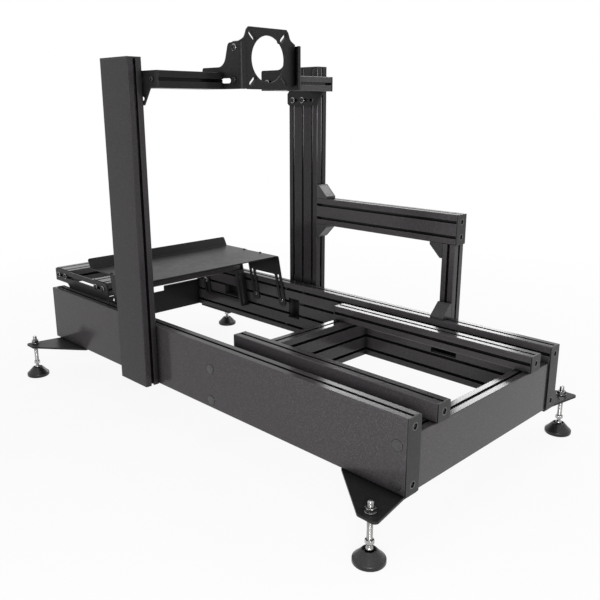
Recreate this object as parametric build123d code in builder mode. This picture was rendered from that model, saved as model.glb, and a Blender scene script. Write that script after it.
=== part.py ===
"""Sim racing cockpit: an open frame of T-slot aluminium extrusions and bent steel brackets.

Units are millimetres, +Z is up, +X is the driver's right and +Y is the pedal end.
The origin is on the floor, under the middle of the cockpit's outline.
"""

import os
from math import atan2, cos, degrees, radians, tan

from build123d import *

# T-slot extrusion system
CELL = 40.0
EDGE_CHAMFER = 1.5
SLOT_MOUTH = 8.2
SLOT_LIP = 4.5
SLOT_INNER = 20.0
SLOT_SHOULDER = 2.5
SLOT_DEPTH = 12.3
SLOT_FLOOR = 10.0
CORE_RADIUS = 3.4
END_CAP = 4.0
END_CAP_HOLE_RADIUS = 6.5
SCREW_HOLE = 8.6
ROUND_SIDES = 12
BEND_RADIUS = 3.0

# Base frame
SIDE_CELLS = 4
SIDE_LENGTH = 1368.0
INNER_WIDTH = 520.0
UNDERSIDE = 105.0
CROSSMEMBER_CELLS = 3
MIDDLE_CROSSMEMBER_FROM_REAR = 560.0
RAIL_INSET = 55.0
FRONT_PANEL_THICKNESS = 3.0
FRONT_PANEL_HEIGHT = 95.0
FRONT_PANEL_LIP = 12.0
FRONT_PANEL_SETBACK = 1.0
CABLE_NOTCH_WIDTH = 216.0
CABLE_NOTCH_DEPTH = 19.0

# Window cut-outs in the inner wall of each side profile: from rear end, length, height range
WINDOW_DEPTH = 33.0
WINDOWS = (
    (1137.0, 75.0, 66.0, 98.0),
    (838.0, 49.0, 47.0, 112.0),
    (254.0, 80.0, 66.0, 80.5),
)

# Uprights, and the crossbar stubs that carry the wheel mount
UPRIGHT_CELLS = 3
UPRIGHT_LENGTH = 816.0
UPRIGHT_FROM_REAR = 801.5
CROSSBAR_CELLS = 2
CROSSBAR_BELOW_TOP = 27.0
CROSSBAR_BACKSET = 60.0
PLATE_STEEL = 5.0
CROSSBAR_PLATE_DROP = 39.0
CROSSBAR_PLATE_CORNER = 6.0
CROSSBAR_PLATE_CHAMFER = 45.0
CROSSBAR_PLATE_SLOT = 32.0
CROSSBAR_PLATE_SLOT_DROP = 23.5
CROSSBAR_PLATE_SLOT_SHIFT = 8.0
CROSSBAR_PLATE_OVERHANG = 2.0
CROSSBAR_PLATE_TOE = 33.0
CROSSBAR_PLATE_TOE_RUN = 28.0

# Wheel mount
MOUNT_INNER_WIDTH = 198.0
MOUNT_PLATE_BACKSET = 114.5
MOUNT_PLATE_HEIGHT = 147.0
MOUNT_PLATE_TOP_WIDTH = 140.0
MOUNT_PLATE_CORNER = 6.5
MOUNT_PLATE_WAIST = 25.0
MOUNT_PLATE_WAIST_WIDTH = 154.0
MOUNT_PLATE_WAIST_RADIUS = 20.0
MOUNT_PLATE_SHOULDER = 37.0
MOUNT_PLATE_NOTCH = 12.0
MOUNT_FLANGE = 25.0
MOUNT_BORE_RADIUS = 56.5
MOUNT_BORE_HEIGHT = 73.0
MOTOR_SLOT_RADIUS = 75.0
MOTOR_SLOT_LENGTH = 30.0
MOTOR_SLOT_WIDTH = 11.0
SIDE_BRACKET_LIP = 13.0
SIDE_BRACKET_LIP_BACKSET = 15.5
SIDE_BRACKET_LENGTH = 153.0
SIDE_BRACKET_FOOT = 53.0
SIDE_BRACKET_HEAD_WIDTH = 49.0
SIDE_BRACKET_HEAD_FLARE = 17.0
SIDE_BRACKET_HEAD_RADIUS = 11.0
SIDE_BRACKET_HEIGHT = 109.0
SIDE_BRACKET_CURVE = 30.0
SIDE_BRACKET_TOE_RADIUS = 6.0
SIDE_BRACKET_SLOT_HEIGHT = 12.0

# Pedal deck
DECK_OVERHANG = 51.0
DECK_LENGTH = 309.0
DECK_BEAM_CELLS = 2
DECK_BEAM_LIFT = 10.0
DECK_PLATE_TOP_MARGIN = 2.0
DECK_PLATE_DROP = 158.0
DECK_PLATE_NOTCH = 83.0
DECK_PLATE_NOTCH_RADIUS = 20.0
DECK_LEG_SLANT = 11.3
DECK_FRONT_LEG = 31.0
DECK_REAR_LEG = 45.0
DECK_BASE_BAR = 10.0
DECK_WINDOW_TOP = 145.0
DECK_FLANGE = 28.0
DECK_FLANGE_SLOT = 108.0
DECK_FLANGE_SLOT_INSET = 15.0
DECK_PLATE_SLOT_MARGIN = 8.0
DECK_FRONT_SLOT_INSET = 14.0
DECK_REAR_SLOT_INSET = 30.0

# Heel tray
TRAY_STEEL = 3.0
TRAY_TOP = 348.0
TRAY_BEHIND_DECK = 182.0
TRAY_LENGTH = 264.0
TRAY_UPSTAND = 25.5
TRAY_UPSTAND_LEAN = 28.0
TRAY_UPSTAND_RADIUS = 6.0
TRAY_SKIRT_DEPTH = 63.0
TRAY_SKIRT_LENGTH = 156.0
TRAY_SKIRT_RADIUS = 6.0
TRAY_LEG_WIDTH = 30.0
TRAY_LEG_LENGTH = 164.0
TRAY_LEG_SLANT = 12.5
TRAY_LEG_RADIUS = 12.0
TRAY_LEG_SLOT = 92.0
TRAY_LEG_SLOT_MARGIN = 13.0

# Shifter support on the right
ARM_CELLS = 2
ARM_LENGTH = 500.0
ARM_LIFT = 357.0
GUSSET = 40.0
GUSSET_NOSE = 6.0

# Levelling feet
FOOT_OUTREACH = 81.6
FOOT_INSET = 14.4
FOOT_PLATE = 5.0
FOOT_PLATE_REACH = 105.0
FOOT_PLATE_ROOT = 158.0
FOOT_PLATE_TIP = 45.0
FOOT_PLATE_OVERHANG = 18.0
FOOT_PLATE_RADIUS = 9.0
FOOT_PLATE_FRONT_SHIFT = 18.0
FOOT_STUD_RADIUS = 6.0
FOOT_HOLE_RADIUS = 6.5
FOOT_STUD_ABOVE = 23.0
FOOT_NUT = 19.0
FOOT_NUT_HEIGHT = 10.0
FOOT_HEXAGON = 16.0
FOOT_HEXAGON_HEIGHT = 8.0
FOOT_HEXAGON_LIFT = 12.0
SWIVEL_RADIUS = 8.0
SWIVEL_HEIGHT = 9.0
PAD_RADIUS = 32.5
PAD_SIDES = 32
PAD_RIM = 8.0
PAD_SHOULDER = 2.5
PAD_HEIGHT = 28.0
PAD_NECK_RADIUS = 14.0
PAD_RECESS_DEPTH = 4.0
PAD_RECESS_CLEARANCE = 4.0
PLUG_RADIUS = 9.0
PLUG_HEIGHT = 2.0

# Places that follow from the sizes above
SIDE_HEIGHT = SIDE_CELLS * CELL
SIDE_TOP = UNDERSIDE + SIDE_HEIGHT
INNER_X = INNER_WIDTH / 2
OUTER_X = INNER_X + CELL
CAPPED_LENGTH = SIDE_LENGTH + 2 * END_CAP
REAR_OVERHANG = PAD_RADIUS - FOOT_INSET - END_CAP
REAR_Y = -(CAPPED_LENGTH + DECK_OVERHANG - REAR_OVERHANG) / 2 + END_CAP
FRONT_Y = REAR_Y + SIDE_LENGTH
CROSSMEMBER_TOP = UNDERSIDE + CROSSMEMBER_CELLS * CELL
MIDDLE_CROSSMEMBER_Y = REAR_Y + MIDDLE_CROSSMEMBER_FROM_REAR
RAIL_X = INNER_X - RAIL_INSET - CELL / 2
UPRIGHT_REAR_Y = REAR_Y + UPRIGHT_FROM_REAR
UPRIGHT_Y = UPRIGHT_REAR_Y + UPRIGHT_CELLS * CELL / 2
CROSSBAR_Y = UPRIGHT_REAR_Y - CROSSBAR_BACKSET + CROSSBAR_CELLS * CELL / 2
CROSSBAR_REAR_Y = UPRIGHT_REAR_Y - CROSSBAR_BACKSET
CROSSBAR_TOP_Z = UNDERSIDE + UPRIGHT_LENGTH - CROSSBAR_BELOW_TOP
CROSSBAR_BOTTOM_Z = CROSSBAR_TOP_Z - CELL
CROSSBAR_Z = CROSSBAR_TOP_Z - CELL / 2
CROSSBAR_END_X = OUTER_X - PLATE_STEEL
MOUNT_INNER_X = MOUNT_INNER_WIDTH / 2
MOUNT_OUTER_X = MOUNT_INNER_X + PLATE_STEEL
MOUNT_PLATE_Y = UPRIGHT_REAR_Y - MOUNT_PLATE_BACKSET
DECK_FRONT_Y = FRONT_Y + END_CAP + DECK_OVERHANG
DECK_REAR_Y = DECK_FRONT_Y - DECK_LENGTH
DECK_BEAM_BOTTOM = SIDE_TOP + DECK_BEAM_LIFT
DECK_BEAM_Z = DECK_BEAM_BOTTOM + CELL / 2
DECK_PLATE_X = INNER_X - PLATE_STEEL
TRAY_REAR_Y = DECK_REAR_Y - TRAY_BEHIND_DECK
ARM_BOTTOM_Z = UNDERSIDE + ARM_LIFT
ARM_TOP_Z = ARM_BOTTOM_Z + ARM_CELLS * CELL
SHIFTER_X = OUTER_X + CELL / 2
POST_Y = UPRIGHT_REAR_Y - ARM_LENGTH + CELL / 2
STUD_X = OUTER_X + FOOT_OUTREACH

SIDES = (("left", -1), ("right", 1))
ENDS = (("rear", -1, REAR_Y), ("front", 1, FRONT_Y))


class FoldedSheet(BaseSketchObject):
    """Section of a folded sheet: its outer face runs along the points, with the sheet to their left."""

    def __init__(self, points, thickness: float, mode: Mode = Mode.ADD):
        with BuildSketch() as fold:
            with BuildLine():
                FilletPolyline(*points, radius=BEND_RADIUS + thickness)
                offset(amount=thickness, side=Side.LEFT)
            make_face()
        super().__init__(obj=fold.sketch, rotation=0, mode=mode)


class TSlot(BaseSketchObject):
    """One T-slot, with its mouth on the local X axis and its depth towards -Y."""

    def __init__(self, rotation: float = 0, mode: Mode = Mode.SUBTRACT):
        with BuildSketch() as slot:
            with BuildLine():
                Polyline(
                    (-SLOT_MOUTH / 2, EDGE_CHAMFER),
                    (-SLOT_MOUTH / 2, -SLOT_LIP),
                    (-SLOT_INNER / 2, -SLOT_LIP),
                    (-SLOT_INNER / 2, -SLOT_LIP - SLOT_SHOULDER),
                    (-SLOT_FLOOR / 2, -SLOT_DEPTH),
                    (SLOT_FLOOR / 2, -SLOT_DEPTH),
                    (SLOT_INNER / 2, -SLOT_LIP - SLOT_SHOULDER),
                    (SLOT_INNER / 2, -SLOT_LIP),
                    (SLOT_MOUTH / 2, -SLOT_LIP),
                    (SLOT_MOUTH / 2, EDGE_CHAMFER),
                    close=True,
                )
            make_face()
        super().__init__(obj=slot.sketch, rotation=rotation, mode=mode)


class ScrewSlot(BaseSketchObject):
    """Slot with rounded ends, as long and wide overall as given."""

    def __init__(self, length: float, width: float, rotation: float = 0, mode: Mode = Mode.SUBTRACT):
        with BuildSketch() as slot:
            with GridLocations(length - width, 0, 2, 1):
                RegularPolygon(width / 2, ROUND_SIDES)
            make_hull()
        super().__init__(obj=slot.sketch, rotation=rotation, mode=mode)


def cell_centres(cells):
    """Centre of each 40 mm cell across a face, measured from the middle of the face."""
    return [(index - (cells - 1) / 2) * CELL for index in range(cells)]


def holed_block(cells, hole_cells, hole_radius):
    """Draw a block one cell thick in the open sketch, its edges eased, with a round hole in some cells."""
    centres = cell_centres(cells)
    Rectangle(cells * CELL, CELL)
    chamfer(vertices(), EDGE_CHAMFER)
    with Locations(*[(centres[index], 0) for index in hole_cells]):
        RegularPolygon(hole_radius, ROUND_SIDES, mode=Mode.SUBTRACT)


def t_slot_section(cells, open_faces, core_cells):
    """Draw the section of a bar in the open sketch, its width along local X, with its screw cores."""
    centres = cell_centres(cells)
    half_width = cells * CELL / 2
    holed_block(cells, core_cells, CORE_RADIUS)
    if "wide_plus" in open_faces:
        with Locations(*[(centre, CELL / 2) for centre in centres]):
            TSlot()
    if "wide_minus" in open_faces:
        with Locations(*[(centre, -CELL / 2) for centre in centres]):
            TSlot(rotation=180)
    if "edge_plus" in open_faces:
        with Locations((half_width, 0)):
            TSlot(rotation=-90)
    if "edge_minus" in open_faces:
        with Locations((-half_width, 0)):
            TSlot(rotation=90)


def section_plane(origin, along, width_dir):
    """Plane of a bar's section: the bar runs along its normal, its width along local X."""
    return Plane(origin=origin, x_dir=width_dir, z_dir=along)


def end_caps(places, cells, hole_cells):
    """Moulded caps on bar ends, with holes over the cores where their screws sit."""
    with BuildPart() as caps:
        for origin, outward, width_dir in places:
            with BuildSketch(section_plane(origin, outward, width_dir)):
                holed_block(cells, hole_cells, END_CAP_HOLE_RADIUS)
            extrude(amount=END_CAP)
    return caps.part


def yz_plane(x, sign):
    """Plane across the cockpit at x whose local axes are world Y and Z, extruded towards sign."""
    return Plane(origin=(x, 0, 0), x_dir=(0, sign, 0), z_dir=(sign, 0, 0))


def save(part, name):
    """Label a finished piece and write it to its own file."""
    part.label = name
    export_step(part, f"parts/{name}.step")


os.makedirs("parts", exist_ok=True)

# Side profiles, with slots on the inner, top and bottom faces and plain outer faces
for side, sign in SIDES:
    inner_face = "wide_plus" if sign < 0 else "wide_minus"
    side_origin = (sign * (INNER_X + CELL / 2), REAR_Y, UNDERSIDE + SIDE_HEIGHT / 2)
    window_plane = Plane(origin=(sign * INNER_X, REAR_Y, UNDERSIDE), x_dir=(0, sign, 0), z_dir=(sign, 0, 0))
    with BuildPart() as side_profile:
        with BuildSketch(section_plane(side_origin, (0, 1, 0), (0, 0, 1))):
            t_slot_section(SIDE_CELLS, (inner_face, "edge_plus", "edge_minus"), (0, SIDE_CELLS - 1))
        extrude(amount=SIDE_LENGTH)
        with BuildSketch(window_plane):
            for start, length, low, high in WINDOWS:
                with Locations((sign * (start + length / 2), (low + high) / 2)):
                    Rectangle(length, high - low)
        extrude(amount=WINDOW_DEPTH, mode=Mode.SUBTRACT)
    save(side_profile.part, f"{side}_side_profile")

side_cap_places = [
    ((sign * (INNER_X + CELL / 2), end_y, UNDERSIDE + SIDE_HEIGHT / 2), (0, direction, 0), (0, 0, 1))
    for _, sign in SIDES
    for _, direction, end_y in ENDS
]
save(end_caps(side_cap_places, SIDE_CELLS, (0, SIDE_CELLS - 1)), "side_profile_end_caps")

# Crossmembers between the side profiles, flush with their undersides
ALL_FACES = ("wide_plus", "wide_minus", "edge_plus", "edge_minus")
crossmembers = (
    ("rear_crossmember", REAR_Y + CELL / 2, ALL_FACES[1:]),
    ("middle_crossmember", MIDDLE_CROSSMEMBER_Y + CELL / 2, ALL_FACES),
)
for name, crossmember_y, open_faces in crossmembers:
    crossmember_origin = (-INNER_X, crossmember_y, UNDERSIDE + CROSSMEMBER_CELLS * CELL / 2)
    with BuildPart() as crossmember:
        with BuildSketch(section_plane(crossmember_origin, (1, 0, 0), (0, 0, 1))):
            t_slot_section(CROSSMEMBER_CELLS, open_faces, (0, CROSSMEMBER_CELLS - 1))
        extrude(amount=INNER_WIDTH)
    save(crossmember.part, name)

# Seat rails on top of the crossmembers, plain on their outward faces
rail_length = MIDDLE_CROSSMEMBER_Y + CELL - REAR_Y
rail_z = CROSSMEMBER_TOP + CELL / 2
for side, sign in SIDES:
    inner_face = "wide_plus" if sign < 0 else "wide_minus"
    with BuildPart() as seat_rail:
        with BuildSketch(section_plane((sign * RAIL_X, REAR_Y, rail_z), (0, 1, 0), (0, 0, 1))):
            t_slot_section(1, (inner_face, "edge_plus", "edge_minus"), (0,))
        extrude(amount=rail_length)
    save(seat_rail.part, f"{side}_seat_rail")

rail_cap_places = [
    ((sign * RAIL_X, end_y, rail_z), (0, direction, 0), (0, 0, 1))
    for _, sign in SIDES
    for direction, end_y in ((-1, REAR_Y), (1, REAR_Y + rail_length))
]
save(end_caps(rail_cap_places, 1, (0,)), "seat_rail_end_caps")

# Front panel between the side profiles, with a cable notch in its folded top edge
panel_y = FRONT_Y - FRONT_PANEL_SETBACK
panel_top = UNDERSIDE + FRONT_PANEL_HEIGHT
with BuildPart() as front_panel:
    with BuildSketch(yz_plane(-INNER_X, 1)):
        FoldedSheet(
            ((panel_y, UNDERSIDE), (panel_y, panel_top), (panel_y - FRONT_PANEL_LIP, panel_top)),
            FRONT_PANEL_THICKNESS,
        )
    extrude(amount=INNER_WIDTH)
    with BuildSketch(Plane.XY.offset(panel_top)):
        with Locations((0, panel_y - FRONT_PANEL_LIP / 2)):
            Rectangle(CABLE_NOTCH_WIDTH, FRONT_PANEL_LIP)
    extrude(amount=-CABLE_NOTCH_DEPTH, mode=Mode.SUBTRACT)
save(front_panel.part, "front_panel")

# Uprights outside the side profiles, plain on their outer faces
for side, sign in SIDES:
    inner_face = "wide_minus" if sign < 0 else "wide_plus"
    with BuildPart() as upright:
        with BuildSketch(section_plane((sign * SHIFTER_X, UPRIGHT_Y, UNDERSIDE), (0, 0, 1), (0, 1, 0))):
            t_slot_section(UPRIGHT_CELLS, (inner_face, "edge_plus", "edge_minus"), (0, UPRIGHT_CELLS - 1))
        extrude(amount=UPRIGHT_LENGTH)
    save(upright.part, f"{side}_upright")

upright_cap_places = [
    ((sign * SHIFTER_X, UPRIGHT_Y, UNDERSIDE + UPRIGHT_LENGTH), (0, 0, 1), (0, 1, 0)) for _, sign in SIDES
]
save(end_caps(upright_cap_places, UPRIGHT_CELLS, (0, UPRIGHT_CELLS - 1)), "upright_end_caps")

# Crossbar stubs, which end at the wheel mount so that the wheel motor fits between them
stub_length = CROSSBAR_END_X - MOUNT_OUTER_X
for side, sign in SIDES:
    stub_origin = (sign * MOUNT_OUTER_X, CROSSBAR_Y, CROSSBAR_Z)
    with BuildPart() as crossbar:
        with BuildSketch(section_plane(stub_origin, (sign, 0, 0), (0, 1, 0))):
            t_slot_section(CROSSBAR_CELLS, ALL_FACES, range(CROSSBAR_CELLS))
        extrude(amount=stub_length)
    save(crossbar.part, f"{side}_crossbar")

# Crossbar brackets: flat plates on the uprights' inner faces that close the crossbar ends
slot_z = CROSSBAR_BOTTOM_Z - CROSSBAR_PLATE_SLOT_DROP
slot_places = [UPRIGHT_Y + centre - CROSSBAR_PLATE_SLOT_SHIFT for centre in cell_centres(UPRIGHT_CELLS)]
crossbar_screw_places = [CROSSBAR_Y + centre for centre in cell_centres(CROSSBAR_CELLS)]
plate_front_y = UPRIGHT_REAR_Y + UPRIGHT_CELLS * CELL + CROSSBAR_PLATE_OVERHANG
plate_toe_y = CROSSBAR_REAR_Y + CROSSBAR_PLATE_TOE
plate_bottom_z = CROSSBAR_BOTTOM_Z - CROSSBAR_PLATE_DROP
for side, sign in SIDES:
    with BuildPart() as crossbar_bracket:
        with BuildSketch(yz_plane(sign * CROSSBAR_END_X, sign)):
            with BuildLine():
                Polyline(
                    (sign * CROSSBAR_REAR_Y, CROSSBAR_BOTTOM_Z),
                    (sign * CROSSBAR_REAR_Y, CROSSBAR_TOP_Z),
                    (sign * (plate_front_y - CROSSBAR_PLATE_CHAMFER), CROSSBAR_TOP_Z),
                    (sign * plate_front_y, CROSSBAR_TOP_Z - CROSSBAR_PLATE_CHAMFER),
                    (sign * plate_front_y, plate_bottom_z + CROSSBAR_PLATE_CORNER),
                    (sign * (plate_front_y - CROSSBAR_PLATE_CORNER), plate_bottom_z),
                    (sign * (plate_toe_y + CROSSBAR_PLATE_TOE_RUN), plate_bottom_z),
                    (sign * plate_toe_y, CROSSBAR_BOTTOM_Z),
                    close=True,
                )
            make_face()
            with Locations(*[(sign * slot_y, slot_z) for slot_y in slot_places]):
                ScrewSlot(CROSSBAR_PLATE_SLOT, SCREW_HOLE)
            with Locations(*[(sign * screw_y, CROSSBAR_Z) for screw_y in crossbar_screw_places]):
                RegularPolygon(SCREW_HOLE / 2, ROUND_SIDES, mode=Mode.SUBTRACT)
        extrude(amount=PLATE_STEEL)
    save(crossbar_bracket.part, f"{side}_crossbar_bracket")

# Wheel mount plate: motor bore, four radial slots, and side flanges folded forwards
plate_rear = Plane(origin=(0, MOUNT_PLATE_Y, CROSSBAR_BOTTOM_Z), x_dir=(1, 0, 0), z_dir=(0, -1, 0))
flange_front_y = MOUNT_PLATE_Y + MOUNT_FLANGE
half_top = MOUNT_PLATE_TOP_WIDTH / 2
shoulder_z = MOUNT_PLATE_HEIGHT - MOUNT_PLATE_SHOULDER
with BuildPart() as wheel_mount_plate:
    with BuildSketch(Plane.XY.offset(CROSSBAR_BOTTOM_Z)):
        FoldedSheet(
            (
                (-MOUNT_INNER_X, flange_front_y),
                (-MOUNT_INNER_X, MOUNT_PLATE_Y),
                (MOUNT_INNER_X, MOUNT_PLATE_Y),
                (MOUNT_INNER_X, flange_front_y),
            ),
            PLATE_STEEL,
        )
    extrude(amount=MOUNT_PLATE_HEIGHT)
    with BuildSketch(plate_rear):
        with BuildLine():
            Polyline(
                (0, 0),
                (half_top, 0),
                (MOUNT_INNER_X - PLATE_STEEL, MOUNT_PLATE_NOTCH),
                (MOUNT_INNER_X, MOUNT_PLATE_NOTCH),
                (MOUNT_INNER_X, shoulder_z),
            )
            FilletPolyline(
                (MOUNT_INNER_X, shoulder_z),
                (MOUNT_PLATE_WAIST_WIDTH / 2, MOUNT_PLATE_HEIGHT - MOUNT_PLATE_WAIST),
                (half_top, MOUNT_PLATE_HEIGHT - MOUNT_PLATE_CORNER),
                radius=MOUNT_PLATE_WAIST_RADIUS,
            )
            Polyline(
                (half_top, MOUNT_PLATE_HEIGHT - MOUNT_PLATE_CORNER),
                (half_top - MOUNT_PLATE_CORNER, MOUNT_PLATE_HEIGHT),
                (0, MOUNT_PLATE_HEIGHT),
            )
            mirror(about=Plane.YZ)
        make_face()
        with Locations((0, MOUNT_BORE_HEIGHT)):
            Circle(MOUNT_BORE_RADIUS, mode=Mode.SUBTRACT)
            with PolarLocations(MOTOR_SLOT_RADIUS, 4, start_angle=45):
                ScrewSlot(MOTOR_SLOT_LENGTH, MOTOR_SLOT_WIDTH)
    extrude(amount=-MOUNT_FLANGE, mode=Mode.INTERSECT)
save(wheel_mount_plate.part, "wheel_mount_plate")

# Side brackets of the wheel mount: a foot on the crossbar end, a head bolted to the mount plate
lip_y = MOUNT_PLATE_Y - SIDE_BRACKET_LIP_BACKSET
bracket_front_y = lip_y + SIDE_BRACKET_LENGTH
foot_top_z = CROSSBAR_BOTTOM_Z + SIDE_BRACKET_FOOT
head_front_y = lip_y + SIDE_BRACKET_HEAD_WIDTH
head_top_z = CROSSBAR_BOTTOM_Z + SIDE_BRACKET_HEIGHT
slot_front_y = CROSSBAR_Y + CROSSBAR_CELLS * CELL / 2
for side, sign in SIDES:
    bracket_fold = (
        (sign * (MOUNT_OUTER_X - SIDE_BRACKET_LIP), lip_y),
        (sign * MOUNT_OUTER_X, lip_y),
        (sign * MOUNT_OUTER_X, bracket_front_y),
    )
    with BuildPart() as wheel_side_bracket:
        with BuildSketch(Plane.XY.offset(CROSSBAR_BOTTOM_Z)):
            FoldedSheet(bracket_fold[::sign], PLATE_STEEL)
        extrude(amount=SIDE_BRACKET_HEIGHT)
        with BuildSketch(yz_plane(sign * MOUNT_OUTER_X, sign)):
            with BuildLine():
                FilletPolyline(
                    (sign * lip_y, CROSSBAR_BOTTOM_Z),
                    (sign * bracket_front_y, CROSSBAR_BOTTOM_Z),
                    (sign * bracket_front_y, foot_top_z),
                    (sign * (head_front_y + SIDE_BRACKET_HEAD_FLARE), foot_top_z),
                    (sign * head_front_y, head_top_z),
                    (sign * lip_y, head_top_z),
                    radius=(0, 0, SIDE_BRACKET_TOE_RADIUS, SIDE_BRACKET_CURVE, SIDE_BRACKET_HEAD_RADIUS, 0),
                    close=True,
                )
            make_face()
            with Locations((sign * (flange_front_y + slot_front_y) / 2, CROSSBAR_Z)):
                ScrewSlot(slot_front_y - flange_front_y, SIDE_BRACKET_SLOT_HEIGHT)
        extrude(amount=-SIDE_BRACKET_LIP, mode=Mode.INTERSECT)
    save(wheel_side_bracket.part, f"{side}_wheel_side_bracket")

# Pedal deck beams, laid flat between the deck side plates
deck_beams = (
    ("front_deck_beam", DECK_FRONT_Y - DECK_BEAM_CELLS * CELL / 2),
    ("rear_deck_beam", DECK_REAR_Y + DECK_BEAM_CELLS * CELL / 2),
)
for name, beam_y in deck_beams:
    with BuildPart() as deck_beam:
        with BuildSketch(section_plane((-DECK_PLATE_X, beam_y, DECK_BEAM_Z), (1, 0, 0), (0, 1, 0))):
            t_slot_section(DECK_BEAM_CELLS, ALL_FACES, range(DECK_BEAM_CELLS))
        extrude(amount=2 * DECK_PLATE_X)
    save(deck_beam.part, name)

# Deck side plates: slanted legs bolted to the side profiles, and a slot rail along the beams
deck_slope = tan(radians(DECK_LEG_SLANT))
deck_top_z = DECK_BEAM_BOTTOM + CELL - DECK_PLATE_TOP_MARGIN
deck_bottom_z = deck_top_z - DECK_PLATE_DROP
deck_nose_z = DECK_BEAM_BOTTOM


def deck_rear_y(z):
    """Rear edge of a deck side plate at height z."""
    return DECK_REAR_Y - (deck_top_z - z) * deck_slope


def deck_leg_front_y(z):
    """Front edge of a deck side plate's front leg at height z."""
    return DECK_FRONT_Y - DECK_PLATE_NOTCH - (deck_nose_z - z) * deck_slope


window_bottom_z = deck_bottom_z + DECK_BASE_BAR
window_top_z = UNDERSIDE + DECK_WINDOW_TOP
front_slot_z = SIDE_TOP - (SIDE_CELLS - 2) * CELL
rear_slot_z = SIDE_TOP - CELL
leg_slot_places = (
    (deck_leg_front_y(front_slot_z) - DECK_FRONT_SLOT_INSET, front_slot_z),
    (deck_rear_y(rear_slot_z) + DECK_REAR_SLOT_INSET, rear_slot_z),
)
flange_slot_x = DECK_PLATE_X - DECK_FLANGE_SLOT_INSET
flange_rear = Plane(origin=(0, deck_rear_y(deck_bottom_z), 0), x_dir=(-1, 0, 0), z_dir=(0, 1, 0))
for side, sign in SIDES:
    with BuildPart() as deck_side_plate:
        with BuildSketch(yz_plane(sign * DECK_PLATE_X, sign)):
            with BuildLine():
                FilletPolyline(
                    (sign * deck_leg_front_y(deck_nose_z), deck_nose_z),
                    (sign * deck_leg_front_y(deck_bottom_z), deck_bottom_z),
                    (sign * deck_rear_y(deck_bottom_z), deck_bottom_z),
                    (sign * DECK_REAR_Y, deck_top_z),
                    (sign * DECK_FRONT_Y, deck_top_z),
                    (sign * DECK_FRONT_Y, deck_nose_z),
                    radius=(DECK_PLATE_NOTCH_RADIUS, 0, 0, 0, 0, 0),
                    close=True,
                )
            make_face()
            with BuildLine():
                Polyline(
                    (sign * (deck_leg_front_y(window_bottom_z) - DECK_FRONT_LEG), window_bottom_z),
                    (sign * (deck_leg_front_y(window_top_z) - DECK_FRONT_LEG), window_top_z),
                    (sign * (deck_rear_y(window_top_z) + DECK_REAR_LEG), window_top_z),
                    (sign * (deck_rear_y(window_bottom_z) + DECK_REAR_LEG), window_bottom_z),
                    close=True,
                )
            make_face(mode=Mode.SUBTRACT)
            with Locations((sign * (DECK_REAR_Y + DECK_FRONT_Y) / 2, DECK_BEAM_Z)):
                ScrewSlot(DECK_LENGTH - 2 * DECK_PLATE_SLOT_MARGIN, SCREW_HOLE)
            with Locations(*[(sign * slot_y, slot_z) for slot_y, slot_z in leg_slot_places]):
                ScrewSlot(CELL + SCREW_HOLE, SCREW_HOLE, rotation=90 - sign * DECK_LEG_SLANT)
        extrude(amount=PLATE_STEEL)
        with BuildSketch(yz_plane(sign * (DECK_PLATE_X - DECK_FLANGE), sign)):
            with BuildLine():
                Polyline(
                    (sign * deck_rear_y(deck_bottom_z), deck_bottom_z),
                    (sign * deck_rear_y(DECK_BEAM_BOTTOM), DECK_BEAM_BOTTOM),
                    (sign * (deck_rear_y(DECK_BEAM_BOTTOM) + PLATE_STEEL), DECK_BEAM_BOTTOM),
                    (sign * (deck_rear_y(deck_bottom_z) + PLATE_STEEL), deck_bottom_z),
                    close=True,
                )
            make_face()
        extrude(amount=DECK_FLANGE)
        with BuildSketch(flange_rear):
            with Locations((-sign * flange_slot_x, (deck_bottom_z + DECK_BEAM_BOTTOM) / 2)):
                ScrewSlot(DECK_FLANGE_SLOT, SCREW_HOLE, rotation=90, mode=Mode.ADD)
        extrude(amount=DECK_REAR_Y + PLATE_STEEL - deck_rear_y(deck_bottom_z), mode=Mode.SUBTRACT)
    save(deck_side_plate.part, f"{side}_deck_side_plate")

# Heel tray: a folded sheet with a leaning front upstand and slotted legs down each side
tray_slope = tan(radians(TRAY_LEG_SLANT))
tray_front_y = TRAY_REAR_Y + TRAY_LENGTH
tray_under_z = TRAY_TOP - TRAY_STEEL
skirt_front_y = TRAY_REAR_Y + TRAY_SKIRT_LENGTH
skirt_bottom_z = TRAY_TOP - TRAY_SKIRT_DEPTH
leg_bottom_z = TRAY_TOP - TRAY_LEG_LENGTH
leg_slot_z = leg_bottom_z + TRAY_LEG_SLOT_MARGIN + TRAY_LEG_SLOT * cos(radians(TRAY_LEG_SLANT)) / 2
upstand_run = (TRAY_UPSTAND + TRAY_STEEL) * tan(radians(TRAY_UPSTAND_LEAN))


def leaned(y, z):
    """Place in the tray's side view at height z, on a line that leans back from y at the tray's top."""
    return (y - (TRAY_TOP - z) * tray_slope, z)


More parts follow.
